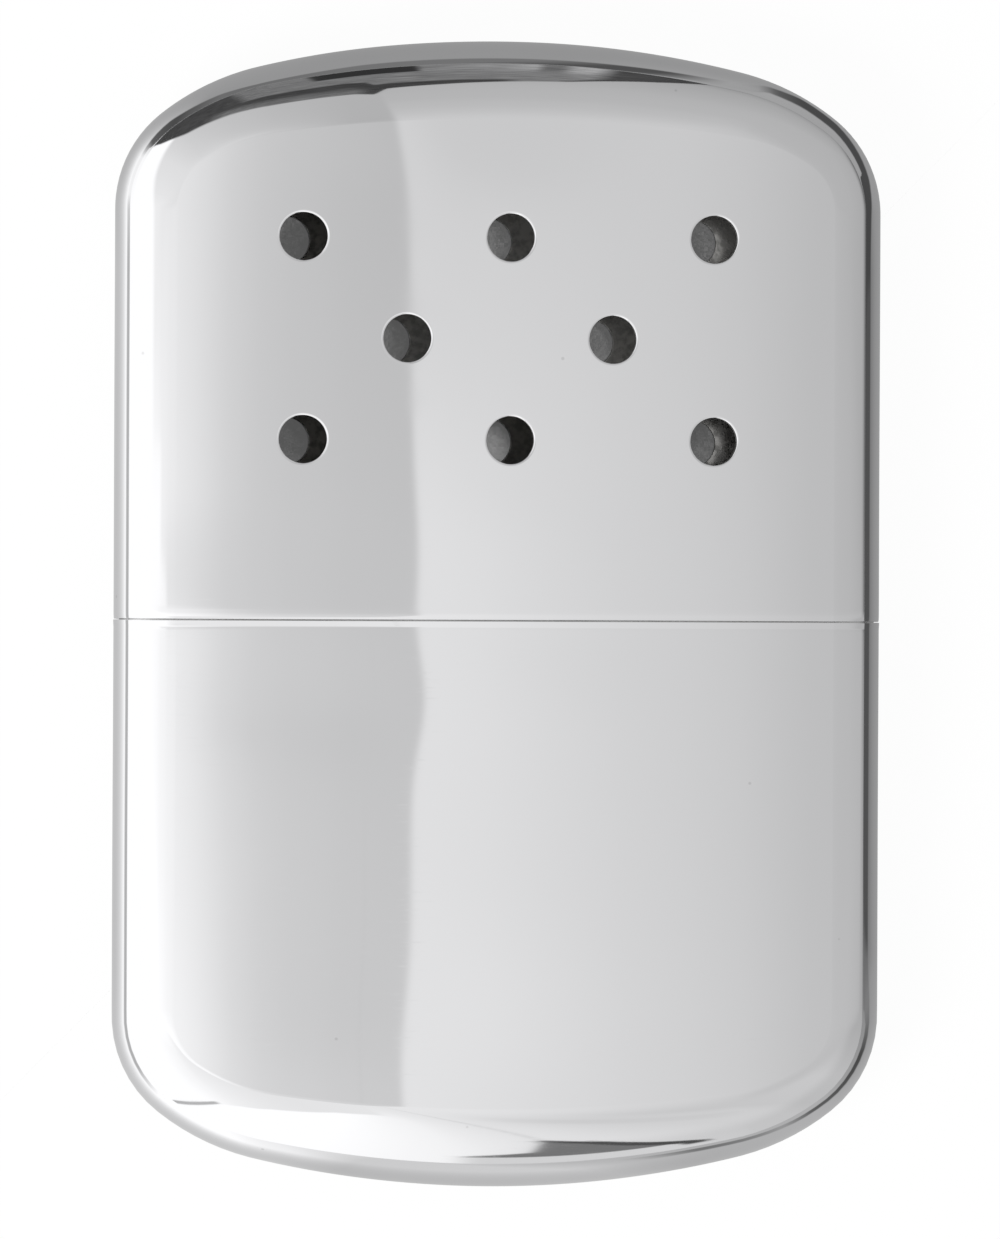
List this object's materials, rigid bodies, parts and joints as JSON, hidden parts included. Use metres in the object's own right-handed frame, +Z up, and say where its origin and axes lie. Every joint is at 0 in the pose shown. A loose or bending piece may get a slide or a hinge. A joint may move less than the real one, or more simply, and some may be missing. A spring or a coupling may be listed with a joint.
{
  "type": "catalytic hand warmer",
  "caption": "Flat pocket warmer in polished plated sheet: a wadding-filled tank, a vented push-on lid, and a catalytic burner on the filling neck.",
  "frame": {"origin": "under the middle of the case, on the surface that its back rests on", "axes": "+Z up out of the front face, +Y along the case towards the vented lid, +X across it"},
  "size_m": [0.0668, 0.099, 0.014],
  "materials": {
    "lid_plating": "bright polished plating",
    "tank_plating": "bright polished plating with fine handling marks",
    "collar_metal": "plated, rubbed by the lid",
    "deck_metal": "satin plated",
    "neck_metal": "satin plated",
    "burner_steel": "stainless sheet with a faint heat tint",
    "rivet_metal": "pressed flat",
    "gauze_wire": "woven fine wire",
    "catalyst_fibre": "matted glass fibre, grey with catalyst",
    "wick_felt": "pressed felt",
    "cotton_wadding": "loose cotton batting"
  },
  "bodies": {
    "tank": {"body_shell": "tank_plating", "collar_sleeve": "collar_metal", "tank_deck": "deck_metal", "fill_neck": "neck_metal", "neck_felt": "wick_felt", "wadding_1": "cotton_wadding", "wadding_2": "cotton_wadding", "wadding_3": "cotton_wadding", "wadding_4": "cotton_wadding"},
    "lid": {"lid_shell": "lid_plating"},
    "burner": {"burner_skirt": "burner_steel", "burner_plate": "burner_steel", "floor_gauze": "gauze_wire", "cage_front": "burner_steel", "cage_back": "burner_steel", "burner_cap": "burner_steel", "burner_rivets": "rivet_metal", "catalyst_mat": "catalyst_fibre", "gauze_front": "gauze_wire", "gauze_back": "gauze_wire"}
  },
  "joints": [
    {"name": "lid_lift", "type": "slide", "parent": "tank", "child": "lid", "axis": [0, 1, 0], "range_m": [0, 0.04]},
    {"name": "burner_lift", "type": "slide", "parent": "tank", "child": "burner", "axis": [0, 1, 0], "range_m": [0, 0.024]}
  ]
}
